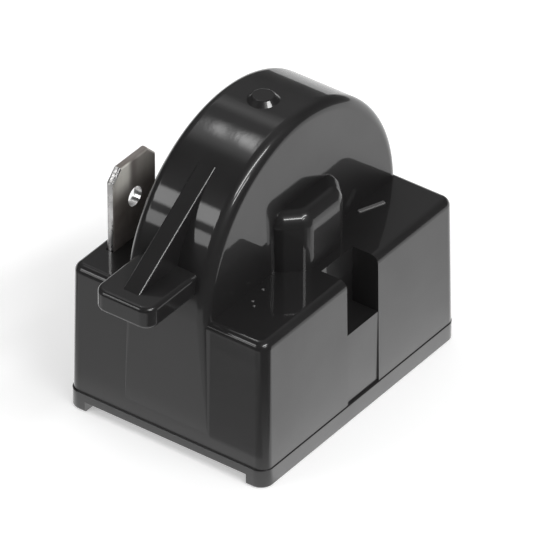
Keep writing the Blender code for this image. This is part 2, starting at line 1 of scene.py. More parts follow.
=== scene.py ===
"""Looks of the compressor start relay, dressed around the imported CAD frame.

The shell, the base and the supply blade are modelled again with fine fillets, because
glossy plastic shows every facet. The pill, springs, sleeves, clips and rivets stay the
CAD nodes and get their finishes here. Pieces are modelled in millimetres about the
middle of the box, and are then brought to metres in the part's own frame.
"""

import json
import logging
import math
from collections.abc import Callable, Iterable
from dataclasses import dataclass
from enum import Enum
from functools import reduce

import bmesh
import bpy
from mathutils import Matrix, Quaternion, Vector

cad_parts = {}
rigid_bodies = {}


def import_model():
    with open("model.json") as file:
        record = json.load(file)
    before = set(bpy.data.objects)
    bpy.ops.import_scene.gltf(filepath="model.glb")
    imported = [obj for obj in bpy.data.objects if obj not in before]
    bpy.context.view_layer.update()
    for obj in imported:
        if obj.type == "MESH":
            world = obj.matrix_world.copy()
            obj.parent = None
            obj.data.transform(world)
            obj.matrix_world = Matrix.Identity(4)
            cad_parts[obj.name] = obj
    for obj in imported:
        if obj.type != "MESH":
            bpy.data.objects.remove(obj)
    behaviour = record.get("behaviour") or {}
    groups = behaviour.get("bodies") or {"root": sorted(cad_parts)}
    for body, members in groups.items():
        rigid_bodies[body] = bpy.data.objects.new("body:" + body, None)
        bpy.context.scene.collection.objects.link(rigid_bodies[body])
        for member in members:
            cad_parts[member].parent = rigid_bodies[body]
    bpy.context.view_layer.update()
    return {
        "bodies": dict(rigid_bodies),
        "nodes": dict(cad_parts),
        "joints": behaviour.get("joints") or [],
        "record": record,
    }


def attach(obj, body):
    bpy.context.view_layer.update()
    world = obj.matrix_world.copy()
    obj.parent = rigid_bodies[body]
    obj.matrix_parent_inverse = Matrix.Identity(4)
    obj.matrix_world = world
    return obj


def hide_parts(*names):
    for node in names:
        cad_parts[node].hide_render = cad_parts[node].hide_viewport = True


LOG = logging.getLogger("relay")

Piece = bpy.types.Object
Edge = bmesh.types.BMEdge
Socket = bpy.types.NodeSocket
Colour = tuple[float, float, float]
Triple = tuple[float, float, float]
Span = tuple[float, float]

MM = 0.001
BODY_X = 3.05
LOOK_AT = (0.0, 0.0, 12.667)
WHITE = (1.0, 1.0, 1.0, 1.0)
RISE = (0.0, 1.0)
FALL = (1.0, 0.0)

# Places this close, in millimetres, count as one.
NEAR = 0.01


class Element(Enum):
    """What an edit-mode selection is made of."""

    VERT = "VERT"
    EDGE = "EDGE"
    FACE = "FACE"


class Join(Enum):
    """How one solid changes another."""

    UNION = "UNION"
    CUT = "DIFFERENCE"


def upright(edge: Edge) -> bool:
    """Say whether an edge climbs by more than a millimetre."""
    return abs(edge.verts[0].co.z - edge.verts[1].co.z) > 1


def level(edge: Edge) -> bool:
    """Say whether an edge lies level."""
    return abs(edge.verts[0].co.z - edge.verts[1].co.z) < NEAR


def up_at(height: float) -> Callable[[Edge], bool]:
    """Return a test for edges that lie at a height or above it."""
    return lambda edge: all(v.co.z > height - NEAR for v in edge.verts)


def faces_down(face: bmesh.types.BMFace) -> bool:
    """Say whether a face looks straight down."""
    return face.normal.z < -0.99


def metres(place: Triple) -> Vector:
    """Return a point in the part's frame that is given in millimetres about the box's middle."""
    return Vector((place[0] + BODY_X, place[1], place[2])) * MM


def direction(azimuth: float, elevation: float) -> Vector:
    """Return the unit vector towards an azimuth from +X and an elevation, in degrees."""
    turn, lift = math.radians(azimuth), math.radians(elevation)
    return Vector((math.cos(turn) * math.cos(lift), math.sin(turn) * math.cos(lift), math.sin(lift)))


def shade_of(colour: Colour, share: float) -> Colour:
    """Return a colour made darker or lighter."""
    return tuple(share * channel for channel in colour)


def stand(name: str, data: bpy.types.ID, place: Vector, turn: Quaternion) -> Piece:
    """Stand a lamp or a camera in the scene.

    Args:
        name: the object's name.
        data: the light or camera data.
        place: where it stands, in metres.
        turn: how it is turned.

    Returns:
        The new object.
    """
    item = bpy.data.objects.new(name, data)
    bpy.context.scene.collection.objects.link(item)
    item.location = place
    item.rotation_mode = "QUATERNION"
    item.rotation_quaternion = turn
    return item


class Bench:
    """The modelling moves that every piece uses, all in millimetres."""

    @staticmethod
    def take(piece: Piece) -> None:
        """Make one piece the active and only selected object.

        Args:
            piece: the object to work on.
        """
        bpy.ops.object.select_all(action="DESELECT")
        piece.select_set(True)
        bpy.context.view_layer.objects.active = piece

    @staticmethod
    def fix_place(piece: Piece) -> Piece:
        """Write a piece's place into its mesh.

        Args:
            piece: the object that was added, moved or turned.

        Returns:
            The object, at the origin.
        """
        Bench.take(piece)
        bpy.ops.object.transform_apply(location=True, rotation=True, scale=True)
        return piece

    @staticmethod
    def name_new(name: str) -> Piece:
        """Name the object that was just added, and write its place into its mesh.

        Args:
            name: the object's name.

        Returns:
            The object, at the origin.
        """
        piece = bpy.context.active_object
        piece.name = piece.data.name = name
        return Bench.fix_place(piece)

    @staticmethod
    def block(name: str, low: Iterable[float], high: Iterable[float]) -> Piece:
        """Add a cuboid between two corners.

        Args:
            name: the object's name.
            low: lowest corner.
            high: highest corner.

        Returns:
            The new object.
        """
        low, high = Vector(low), Vector(high)
        bpy.ops.object.select_all(action="DESELECT")
        bpy.ops.mesh.primitive_cube_add(size=1, location=(low + high) / 2)
        bpy.context.active_object.scale = high - low
        return Bench.name_new(name)

    @staticmethod
    def rod(name: str, centre: Iterable[float], radius: float, length: float,
            sides: int = 96, along_y: bool = False) -> Piece:
        """Add a round bar.

        Args:
            name: the object's name.
            centre: middle of the bar.
            radius: its radius.
            length: its length.
            sides: how many flat sides stand for the round.
            along_y: True lays it along Y instead of Z.

        Returns:
            The new object.
        """
        bpy.ops.object.select_all(action="DESELECT")
        bpy.ops.mesh.primitive_cylinder_add(
            vertices=sides, radius=radius, depth=length, location=tuple(centre),
            rotation=(math.pi / 2 if along_y else 0, 0, 0))
        return Bench.name_new(name)

    @staticmethod
    def pick(piece: Piece, kind: Element, test: Callable[[object], bool]) -> int:
        """Go to edit mode with only the matching elements selected.

        Args:
            piece: the object to edit.
            kind: vertices, edges or faces.
            test: says which elements are wanted.

        Returns:
            How many were selected.
        """
        Bench.take(piece)
        bpy.ops.object.mode_set(mode="EDIT")
        bpy.ops.mesh.select_mode(type=kind.value)
        bpy.ops.mesh.select_all(action="DESELECT")
        mesh = bmesh.from_edit_mesh(piece.data)
        elements = {Element.VERT: mesh.verts, Element.EDGE: mesh.edges, Element.FACE: mesh.faces}[kind]
        found = [item for item in elements if test(item)]
        for item in found:
            item.select_set(True)
        mesh.select_flush_mode()
        bmesh.update_edit_mesh(piece.data)
        return len(found)

    @staticmethod
    def leave() -> None:
        """Go back to object mode."""
        bpy.ops.object.mode_set(mode="OBJECT")

    @staticmethod
    def round_edges(piece: Piece, radius: float, steps: int, test: Callable[[Edge], bool]) -> None:
        """Bevel the matching edges.

        Args:
            piece: the object to edit.
            radius: fillet radius, or the width of a flat chamfer.
            steps: segments across the fillet, 1 for a chamfer.
            test: says which edges are bevelled.
        """
        if Bench.pick(piece, Element.EDGE, test):
            bpy.ops.mesh.bevel(offset_type="OFFSET", offset=radius, segments=steps, profile=0.5,
                               affect="EDGES", clamp_overlap=False)
        else:
            LOG.warning("%s: no edge to round", piece.name)
        Bench.leave()

    @staticmethod
    def round_by_weight(piece: Piece, radius: float, steps: int,
                        weigh: Callable[[Vector, Vector], float]) -> None:
        """Bevel edges by shares of one radius with a modifier, and apply it.

        Args:
            piece: the object to bevel.
            radius: fillet radius at a share of 1.
            steps: segments across the fillet.
            weigh: gives an edge's share from its two ends.
        """
        shares = piece.data.attributes.new("bevel_weight_edge", "FLOAT", "EDGE")
        for edge, share in zip(piece.data.edges, shares.data):
            a, b = (piece.data.vertices[i].co for i in edge.vertices)
            share.value = weigh(a, b)
        Bench.take(piece)
        step = piece.modifiers.new("rounding", "BEVEL")
        step.limit_method = "WEIGHT"
        step.width, step.segments = radius, steps
        step.use_clamp_overlap = False
        bpy.ops.object.modifier_apply(modifier=step.name)

    @staticmethod
    def shift(piece: Piece, move: Triple, test: Callable[[bmesh.types.BMVert], bool]) -> None:
        """Move the matching vertices.

        Args:
            piece: the object to edit.
            move: the translation.
            test: says which vertices move.
        """
        Bench.pick(piece, Element.VERT, test)
        bpy.ops.transform.translate(value=move)
        Bench.leave()

    @staticmethod
    def draw_down(piece: Piece, length: float) -> None:
        """Make a piece longer below by extruding its flat underside.

        Args:
            piece: the object to edit.
            length: how far the underside moves down.
        """
        Bench.pick(piece, Element.FACE, faces_down)
        bpy.ops.mesh.extrude_region_move(TRANSFORM_OT_translate={"value": (0, 0, -length)})
        Bench.leave()

    @staticmethod
    def reshape(piece: Piece, rule: Callable[[Vector], Vector]) -> None:
        """Give every vertex the place that a rule makes of its old one."""
        for vertex in piece.data.vertices:
            vertex.co = rule(vertex.co.copy())

    @staticmethod
    def combine(piece: Piece, helper: Piece, how: Join) -> None:
        """Add a helper to a piece, or cut it out, and delete the helper.

        Args:
            piece: the object that stays.
            helper: the solid that shapes it.
            how: union or cut.
        """
        Bench.take(piece)
        step = piece.modifiers.new("combine", "BOOLEAN")
        step.operation = how.value
        step.solver = "EXACT"
        step.object = helper
        bpy.ops.object.modifier_apply(modifier=step.name)
        bpy.data.objects.remove(helper, do_unlink=True)

    @staticmethod
    def shade(piece: Piece, angle: float = 20.0) -> None:
        """Shade a finished piece so that flats stay flat and fillets run smoothly.

        Args:
            piece: the object to shade.
            angle: edges sharper than this many degrees stay sharp.
        """
        Bench.take(piece)
        bpy.ops.object.shade_smooth_by_angle(angle=math.radians(angle))
        step = piece.modifiers.new("even", "WEIGHTED_NORMAL")
        step.mode = "FACE_AREA"
        step.weight = 100
        step.keep_sharp = True
        bpy.ops.object.modifier_apply(modifier=step.name)

    @staticmethod
    def seat(piece: Piece, replaced: str, slot: str) -> None:
        """Bring a dressed piece to metres in the part's frame.

        Args:
            piece: the finished object, in millimetres about the box's middle.
            replaced: the CAD node that it stands for.
            slot: the record's material slot; not used.
        """
        Bench.take(piece)
        bpy.ops.transform.translate(value=(BODY_X, 0, 0))
        bpy.ops.transform.resize(value=(MM, MM, MM), center_override=(0, 0, 0))
        bpy.ops.object.transform_apply(location=True, rotation=True, scale=True)
        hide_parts(replaced)
        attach(piece, "root")
        LOG.info("%s: %d faces", piece.name, len(piece.data.polygons))


@dataclass
class Nodes:
    """A node tree with short ways to add to it."""

    tree: bpy.types.NodeTree

    def feed(self, slot: Socket, value: object) -> None:
        """Link a socket to an input, or set the input to a constant.

        Args:
            slot: the input.
            value: a socket or a constant.
        """
        if isinstance(value, Socket):
            self.tree.links.new(value, slot)
        else:
            slot.default_value = value

    def fill(self, node: bpy.types.Node, **values: object) -> bpy.types.Node:
        """Set a node's properties and feed its inputs.

        Args:
            node: the node.
            values: properties by name, or inputs by name with spaces written as underscores.

        Returns:
            The node.
        """
        for name, value in values.items():
            if hasattr(node, name):
                setattr(node, name, value)
            else:
                self.feed(node.inputs[name.replace("_", " ")], value)
        return node

    def add(self, kind: str, **values: object) -> bpy.types.Node:
        """Add a node of a kind, with values as fill takes them."""
        return self.fill(self.tree.nodes.new(kind), **values)

    def place(self, stretch: Triple = (1, 1, 1)) -> Socket:
        """Give the point on the piece in Object coordinates, scaled along each axis."""
        where = self.add("ShaderNodeTexCoord").outputs["Object"]
        return self.add("ShaderNodeMapping", Scale=stretch, Vector=where).outputs["Vector"]

    def millimetres(self) -> tuple[Socket, ...]:
        """Give the point's X, Y and Z in millimetres about the box's middle."""
        split = self.add("ShaderNodeSeparateXYZ", Vector=self.place((1 / MM, 1 / MM, 1 / MM)))
        return self.math("SUBTRACT", split.outputs["X"], BODY_X), split.outputs["Y"], split.outputs["Z"]

    def noise(self, scale: float, detail: float = 3.0, stretch: Triple = (1, 1, 1)) -> Socket:
        """Give a noise with so many cells per metre, octaves and scale along each axis."""
        texture = self.add("ShaderNodeTexNoise", Scale=scale, Detail=detail, Vector=self.place(stretch))
        return texture.outputs["Fac"]

    def math(self, operation: str, *values: Socket | float) -> Socket:
        """Calculate with sockets and numbers.

        Args:
            operation: the math node's operation.
            values: its one or two inputs.

        Returns:
            The result.
        """
        node = self.add("ShaderNodeMath", operation=operation)
        for slot, value in zip(node.inputs, values):
            self.feed(slot, value)
        return node.outputs[0]

    def product(self, *values: Socket | float) -> Socket:
        """Multiply sockets and numbers."""
        return reduce(lambda one, other: self.math("MULTIPLY", one, other), values)

    def remap(self, value: Socket, old: Span, new: Span, kind: str = "LINEAR") -> Socket:
        """Map one range of a value to another, clamped.

        Args:
            value: the value to map.
            old: where its range starts and ends.
            new: where the new range starts and ends.
            kind: the map node's interpolation.

        Returns:
            The mapped value.
        """
        node = self.add("ShaderNodeMapRange", interpolation_type=kind, Value=value,
                        From_Min=old[0], From_Max=old[1], To_Min=new[0], To_Max=new[1])
        return node.outputs["Result"]

    def smooth(self, value: Socket, old: Span, new: Span) -> Socket:
        """Map one range of a value to another with soft ends."""
        return self.remap(value, old, new, "SMOOTHSTEP")

    def blend(self, share: Socket, first: Socket | Colour, second: Socket | Colour) -> Socket:
        """Mix two colours.

        Args:
            share: how much of the second colour shows.
            first: colour at 0.
            second: colour at 1.

        Returns:
            The mixed colour.
        """
        node = self.add("ShaderNodeMix", data_type="RGBA")
        self.feed(node.inputs[0], share)
        for slot, colour in ((6, first), (7, second)):
            self.feed(node.inputs[slot], colour if isinstance(colour, Socket) else (*colour, 1.0))
        return node.outputs[2]

    def bump(self, height: Socket, depth: float, under: Socket | None = None) -> Socket:
        """Raise the surface by a height pattern.

        Args:
            height: the pattern, 0 to 1.
            depth: its depth in metres.
            under: the normal of a coarser bump below it.

        Returns:
            The bumped normal.
        """
        node = self.add("ShaderNodeBump", Strength=1.0, Distance=depth, Height=height)
        if under is not None:
            self.feed(node.inputs["Normal"], under)
        return node.outputs["Normal"]

    def specks(self, scale: float, size: float, share: float) -> Socket:
        """Scatter small round specks.

        Args:
            scale: cells per metre.
            size: speck radius as a share of a cell.
            share: how many of the cells hold a speck.

        Returns:
            1 in a speck and 0 elsewhere.
        """
        cells = self.add("ShaderNodeTexVoronoi", Scale=scale, Vector=self.place())
        near = self.remap(cells.outputs["Distance"], (size * 0.6, size), FALL)
        split = self.add("ShaderNodeSeparateColor", Color=cells.outputs["Color"])
        return self.product(near, self.math("LESS_THAN", split.outputs[0], share))

    def mix(self, share: Socket, first: Socket, second: Socket) -> Socket:
        """Mix two shaders.

        Args:
            share: how much of the second shader shows.
            first: shader at 0.
            second: shader at 1.

        Returns:
            The mixed shader.
        """
        node = self.add("ShaderNodeMixShader")
        for slot, source in zip(node.inputs, (share, first, second)):
            self.feed(slot, source)
        return node.outputs[0]

    def mirrored(self, rays: bpy.types.Node) -> Socket:
        """Give 1 for rays that come from a reflection or through a clear piece."""
        return self.math("MAXIMUM", rays.outputs["Is Glossy Ray"], rays.outputs["Is Transmission Ray"])


@dataclass(frozen=True)
class Finish:
    """A named material, which is the start of every finish."""

    name: str

    def start(self) -> tuple[bpy.types.Material, Nodes, bpy.types.Node]:
        """Start the material.

        Returns:
            The new material, its nodes and its surface shader.
        """
        made = bpy.data.materials.new(self.name)
        made.use_nodes = True
        return made, Nodes(made.node_tree), made.node_tree.nodes["Principled BSDF"]


@dataclass(frozen=True)
class MouldedPlastic(Finish):
    """Black moulded plastic: a polished skin over a hazy body, faint waves and a little dust."""

    colour: Colour
    skin_roughness: float
    haze: Span
    wave_depth: float
    peel_depth: float
    grain_depth: float
    dull_panel: bool = False
    body_ior: float = 1.36
    skin_ior: float = 1.5
    dust_colour: Colour = (0.3, 0.3, 0.3)
    panel_end: Span = (-14.02, -13.95)
    panel_side: Span = (-4.75, -4.6)
    panel_foot: Span = (3.0, 3.4)
    panel_top: Span = (14.2, 14.6)
    panel_polish: Span = (0.3, 0.42)

    def make(self) -> bpy.types.Material:
        """Make the material.

        Returns:
            The material.
        """
        made, nodes, shader = self.start()
        haze = nodes.noise(scale=180.0, detail=4.0)
        dust = nodes.specks(scale=420.0, size=0.035, share=0.07)
        mottled = nodes.blend(haze, shade_of(self.colour, 0.8), shade_of(self.colour, 1.2))
        wave = nodes.bump(nodes.noise(scale=380.0, detail=1.0), self.wave_depth)
        peel = nodes.bump(nodes.noise(scale=2600.0, detail=1.0), self.peel_depth, wave)
        grain = nodes.bump(nodes.noise(scale=5200.0, detail=2.0), self.grain_depth, wave)
        nodes.fill(shader, IOR=self.body_ior, Coat_Weight=1.0, Coat_Roughness=self.skin_roughness,
                   Coat_IOR=self.skin_ior, Base_Color=nodes.blend(dust, mottled, self.dust_colour),
                   Roughness=nodes.remap(haze, (0.35, 0.7), self.haze), Normal=grain, Coat_Normal=peel)
        if self.dull_panel:
            nodes.fill(shader, Coat_Weight=self._polish(nodes))
        return made

    def _polish(self, nodes: Nodes) -> Socket:
        """Give the skin's share: less on the duller panel at the -X end, right of the column.

        Args:
            nodes: the material's nodes.

        Returns:
            The skin's weight.
        """
        x, y, z = nodes.millimetres()
        panel = nodes.product(nodes.remap(x, self.panel_end, FALL), nodes.remap(y, self.panel_side, FALL),
                              nodes.remap(z, self.panel_foot, RISE), nodes.remap(z, self.panel_top, FALL))
        streaks = nodes.noise(scale=160.0, detail=4.0, stretch=(1.0, 0.25, 6.0))
        dulled = nodes.math("SUBTRACT", 1.0, nodes.remap(streaks, (0.35, 0.65), self.panel_polish))
        return nodes.math("SUBTRACT", 1.0, nodes.product(panel, dulled))


@dataclass(frozen=True)
class SheetMetal(Finish):
    """Stamped or rolled metal with draw lines and stains, and on the blade a pale, less metallic band that
    grows lighter towards the top.
    """

    bright: Colour
    stained: Colour
    gloss: Span
    line_stretch: Triple
    line_depth: float
    metallic: float = 1.0
    pale_tint: Colour | None = None
    pale_metallic: float = 0.12
    pale_band: tuple[tuple[Span, Span], ...] = (((-10.6, -9.4), (0.45, 1.0)), ((-8.4, -7.5), FALL))
    faint_band: tuple[tuple[Span, Span], ...] = (((-7.5, -6.6), (0.05, 0.42)), ((-5.4, -4.2), (1.0, 0.7)))
    pale_rise: Span = (19.4, 22.0)
    pale_face: Span = (8.5, 8.6)

    def make(self) -> bpy.types.Material:
        """Make the material.

        Returns:
            The material.
        """
        made, nodes, shader = self.start()
        stain = nodes.remap(nodes.noise(scale=320.0, detail=5.0), (0.4, 0.65), RISE)
        colour = nodes.blend(stain, self.bright, self.stained)
        nodes.fill(shader, Metallic=self.metallic)
        # A pale, less metallic tint, lighter towards the top, lies on the blade's front face.
        if self.pale_tint is not None:
            share = self._pale_share(nodes)
            colour = nodes.blend(share, colour, self.pale_tint)
            nodes.fill(shader, Metallic=nodes.remap(share, RISE, (self.metallic, self.pale_metallic)))
        lines = nodes.noise(scale=900.0, detail=3.0, stretch=self.line_stretch)
        nodes.fill(shader, Base_Color=colour, Roughness=nodes.remap(lines, (0.3, 0.7), self.gloss),
                   Normal=nodes.bump(lines, self.line_depth))
        return made

    def _pale_share(self, nodes: Nodes) -> Socket:
        """Give the share of the pale tint: a pale band down the blade's tip and a fainter one beside it.

        Args:
            nodes: the material's nodes.

        Returns:
            The film's share.
        """
        x, y, z = nodes.millimetres()
        pale, faint = (nodes.product(*(nodes.smooth(x, old, new) for old, new in band))
                       for band in (self.pale_band, self.faint_band))
        draw_lines = nodes.noise(scale=900.0, detail=3.0, stretch=(1.0, 1.0, 0.1))
        return nodes.product(
            nodes.math("MAXIMUM", pale, faint), nodes.smooth(z, self.pale_rise, RISE),
            nodes.remap(y, self.pale_face, FALL), nodes.remap(draw_lines, (0.3, 0.7), (0.75, 1.15)))


@dataclass(frozen=True)
class FiredCeramic(Finish):
    """The pill: a grey ceramic with dull silver printed on its faces."""

    colour: Colour
    metallic: float = 0.6
    gloss: Span = (0.4, 0.6)
    mark_depth: float = 4e-6

    def make(self) -> bpy.types.Material:
        """Make the material.

        Returns:
            The material.
        """
        made, nodes, shader = self.start()
        marks = nodes.noise(scale=1500.0, detail=4.0)
        colour = nodes.blend(marks, shade_of(self.colour, 0.8), self.colour)
        nodes.fill(shader, Metallic=self.metallic, Base_Color=colour,
                   Roughness=nodes.remap(marks, (0.3, 0.7), self.gloss),
                   Normal=nodes.bump(marks, self.mark_depth))
        return made


SHELL = MouldedPlastic("black_shell_gloss", (0.0152, 0.0146, 0.0149), skin_roughness=0.045, haze=(0.36, 0.46),
                       wave_depth=6e-6, peel_depth=8e-7, grain_depth=2.5e-7, dull_panel=True)
# The marks on the box top get a lighter grey: partly a matt scuff, partly a painted glint that stands in for
# the lamps' highlights on them.
SCUFF_AND_GLINT = MouldedPlastic("scuffed_shell_glint", (0.13, 0.128, 0.128), skin_roughness=0.3, haze=(0.4, 0.5),
                       wave_depth=1.2e-5, peel_depth=1e-6, grain_depth=4e-6)
BASE = MouldedPlastic("black_base_gloss", (0.025, 0.0243, 0.0247), skin_roughness=0.13, haze=(0.4, 0.5),
                      wave_depth=2e-5, peel_depth=6e-7, grain_depth=8e-7)
BLADE = SheetMetal("tinned_blade", (0.42, 0.38, 0.36), (0.3, 0.265, 0.24), gloss=(0.3, 0.45),
                   line_stretch=(1.0, 1.0, 0.12), line_depth=3e-6, metallic=0.62, pale_tint=(0.78, 0.76, 0.7))
# Bright bare tin for the blade's -X edge and hole wall: partly wear, partly a painted reflection of the white
# surround.
WORN_AND_SHEEN_EDGE = SheetMetal("worn_tin_edge_sheen", (0.95, 0.945, 0.94), (0.7, 0.69, 0.68), gloss=(0.16, 0.4),
                       line_stretch=(1.0, 1.0, 1.0), line_depth=6e-5)
STEEL = SheetMetal("spring_steel", (0.52, 0.52, 0.53), (0.4, 0.4, 0.41), gloss=(0.25, 0.4),
                   line_stretch=(1.0, 1.0, 0.1), line_depth=2e-6)
BRASS = SheetMetal("rolled_brass", (0.72, 0.55, 0.27), (0.5, 0.36, 0.16), gloss=(0.25, 0.42),
                   line_stretch=(0.2, 1.0, 1.0), line_depth=2e-6)
CERAMIC = FiredCeramic("silvered_pill", (0.56, 0.56, 0.54))


@dataclass
class Shell:
    """The moulded housing: box, dome, tongue, gusset and boss, hollow inside.

    Cutters reach past the faces that they cut, and stagger sets the undersides of
    overlapping cutters apart.
    """

    length: float = 28.5
    width: float = 21.4
    foot: float = 1.91
    top: float = 15.15
    wall: float = 1.15
    draft: float = 0.2
    corner_radius: float = 1.1
    top_fillet: float = 0.8
    dome_radius: float = 14.15
    dome_height: float = 14.88
    dome_x: float = -0.28
    dome_thickness: float = 8.56
    dome_draft_deg: float = 1.0
    dome_fillet: float = 1.1
    dome_wall: float = 1.2
    rim_angle: float = 0.5
    rim_drift: float = 0.3
    column_foot: float = 3.4
    column_sink: float = 0.02
    column_fade: float = 0.08
    bulkhead: float = 0.65
    past: float = 1.0
    stagger: float = 0.1
    lobby_top: float = 5.25
    tongue_top: float = 19.5
    tongue_thickness: float = 2.2
    tongue_reach: float = 6.3
    tongue_root: float = 3.8
    tongue_width: float = 6.15
    tongue_corner: float = 1.2
    tongue_fillet: float = 0.45
    gusset_width: float = 1.8
    gusset_setback: float = 1.45
    gusset_slope_deg: float = 33.4
    gusset_length: float = 11.0
    gusset_root: float = 1.3
    gusset_fillet: float = 0.2
    boss_height: float = 5.8
    boss_front: float = 5.0
    boss_chamfer: float = 2.0
    boss_reach: float = 2.57
    boss_fillet: float = 1.4
    boss_edge: float = 0.62
    boss_clear: float = 0.3
    notch_x: float = 0.3
    notch_width: float = 4.6
    notch_depth: float = 2.95
    notch_height: float = 5.8
    notch_wall: float = 1.0
    channel_depth: float = 0.15
    gate_x: float = 0.0
    gate_radius: float = 1.49
    gate_top_radius: float = 0.97
    gate_rise: float = 0.44
    gate_sink: float = 0.06
    gate_fillet: float = 0.09
    blade_x: float = -7.35
    blade_y: float = 8.85
    blade_width: float = 6.3
    slot_gap: float = 0.03
    slot_half: float = 0.43
    pimples: tuple[Span, ...] = ((-7.2, -5.3), (-9.12, -5.62), (-9.62, -6.12))
    pimple_radius: float = 0.19
    pimple_sink: float = 0.1
    pimple_reach: float = 0.3
    bar_middle: Span = (8.34, -5.62)
    bar_size: Triple = (2.75, 0.42, 0.12)
    bar_turn_deg: float = -21.5
    bar_sink: float = 0.3
    bar_fillet: float = 0.08
    bar_margin: float = 0.1

    @property
    def crown(self) -> float:
        """Height of the dome's top."""
        return self.dome_height + self.dome_radius

    @property
    def half_top(self) -> float:
        """Half the dome's thickness at its top."""
        return self.dome_thickness / 2

    @property
    def pocket(self) -> float:
        """Half the clear width round the pill."""
        return self.half_top - self.dome_wall

    @property
    def column_left(self) -> float:
        """Where the column's outer face stands, just inside the box's end."""
        return -self.length / 2 + self.column_sink

    @property
    def tongue_tip(self) -> float:
        """Where the tongue ends."""
        return -self.length / 2 - self.tongue_reach

    @property
    def notch_sides(self) -> Span:
        """Where the notch starts and ends along X."""
        return self.notch_x - self.notch_width / 2, self.notch_x + self.notch_width / 2

    @property
    def notch_floor(self) -> float:
        """Height of the notch's floor."""
        return self.top - self.notch_height

    def face_y(self, height: float) -> float:
        """Return how far the dome's drafted face lies from its middle plane at a height."""
        drop = self.crown - max(height, self.dome_height)
        return self.half_top + math.tan(math.radians(self.dome_draft_deg)) * drop

    def build(self) -> Piece:
        """Model the shell.

        Returns:
            The finished shell.
        """
        shell = self._box()
        parts = [self._dome(), self._tongue(), self._gusset(), self._boss(), self._gate(), self._bar()]
        parts += [self._pimple(x, y) for x, y in self.pimples]
        for part in parts:
            Bench.combine(shell, part, Join.UNION)
        self._notch(shell)
        self._hollow(shell)
        for finish in (SHELL, SCUFF_AND_GLINT):
            shell.data.materials.append(finish.make())
        # Faces of the marks on the box top take the scuffed grey with its painted glint.
        for face in shell.data.polygons:
            face.material_index = int(self._is_glinting_mark(face.center))
        Bench.shade(shell)
        return shell

    def _is_glinting_mark(self, place: Vector) -> bool:
        """Say whether a face belongs to one of the small marks that stand on the box top.

        Args:
            place: the face's centre.

        Returns:
            True for a face of a mark.
        """
        if not self.top + 2 * NEAR < place.z < self.top + self.bar_size[2] + NEAR:
            return False
        marks = ((*self.bar_middle, self.bar_size[0] / 2 + self.bar_margin),
                 *((x, y, self.pimple_reach) for x, y in self.pimples))
        return any(math.hypot(place.x - x, place.y - y) < reach for x, y, reach in marks)

    def _box(self) -> Piece:
        """Model the drafted box with its fillets.

        Returns:
            The box.
        """
        half_x, half_y = self.length / 2, self.width / 2
        box = Bench.block("housing_shell", (-half_x, -half_y, self.foot), (half_x, half_y, self.top))
        Bench.pick(box, Element.VERT, lambda v: v.co.z > self.top - NEAR)
        bpy.ops.transform.resize(value=(1 - self.draft / half_x, 1 - self.draft / half_y, 1),
                                 center_override=(0, 0, self.top))
        Bench.leave()
        Bench.round_edges(box, self.corner_radius, 12, upright)
        Bench.round_edges(box, self.top_fillet, 10, up_at(self.top))
        return box

    def _dome(self) -> Piece:
        """Model the half-round dome on its column, with drafted faces and rounded rims.

        Returns:
            The dome with its column.
        """
        dome = Bench.rod("dome", (self.dome_x, 0, self.dome_height), self.dome_radius,
                         self.dome_thickness, 288, along_y=True)
        Bench.pick(dome, Element.FACE, lambda f: True)
        bpy.ops.mesh.bisect(plane_co=(0, 0, self.dome_height), plane_no=(0, 0, 1),
                            clear_inner=True, use_fill=True)
        Bench.leave()
        Bench.draw_down(dome, self.dome_height - self.column_foot)
        Bench.shift(dome, (self.column_left - self.dome_x + self.dome_radius, 0, 0),
                    lambda v: v.co.z < self.column_foot + NEAR and v.co.x < 0)
        Bench.reshape(dome, lambda p: Vector((p.x, math.copysign(self.face_y(p.z), p.y), p.z)))
        Bench.round_edges(dome, self.dome_fillet, 12, self._is_rim)
        Bench.reshape(dome, self._fade_column)
        return dome

    def _is_rim(self, edge: Edge) -> bool:
        """Say whether an edge runs round one of the dome's two faces.

        Args:
            edge: an edge of the dome.

        Returns:
            True for an edge that is rounded.
        """
        a, b = edge.verts
        creased = len(edge.link_faces) == 2 and edge.calc_face_angle(0.0) > self.rim_angle
        at_foot = max(a.co.z, b.co.z) < self.column_foot + NEAR
        along_face = a.co.y * b.co.y > 0 and abs(a.co.y - b.co.y) < self.rim_drift
        return creased and along_face and not at_foot

    def _fade_column(self, place: Vector) -> Vector:
        """Let the column's fillets run out to a nearly sharp edge at its foot.

        Args:
            place: a point of the dome or its column.

        Returns:
            The point's new place.
        """
        if place.z > self.column_foot + NEAR:
            return place
        edge = self.face_y(0.0)
        side = self.column_left if place.x < 0 else self.dome_x + self.dome_radius
        return Vector((side + (place.x - side) * self.column_fade,
                       math.copysign(edge - (edge - abs(place.y)) * self.column_fade, place.y), place.z))

    def _tongue(self) -> Piece:
        """Model the flat tongue with rounded corners and edges.

        Returns:
            The tongue.
        """
        tip, half = self.tongue_tip, self.tongue_width / 2
        root = tip + self.tongue_reach + self.tongue_root
        tongue = Bench.block("tongue", (tip, -half, self.tongue_top - self.tongue_thickness),
                             (root, half, self.tongue_top))
        Bench.round_edges(tongue, self.tongue_corner, 10,
                          lambda e: upright(e) and all(v.co.x < tip + NEAR for v in e.verts))
        Bench.round_edges(tongue, self.tongue_fillet, 6,
                          lambda e: level(e) and not all(v.co.x > root - NEAR for v in e.verts))
        return tongue

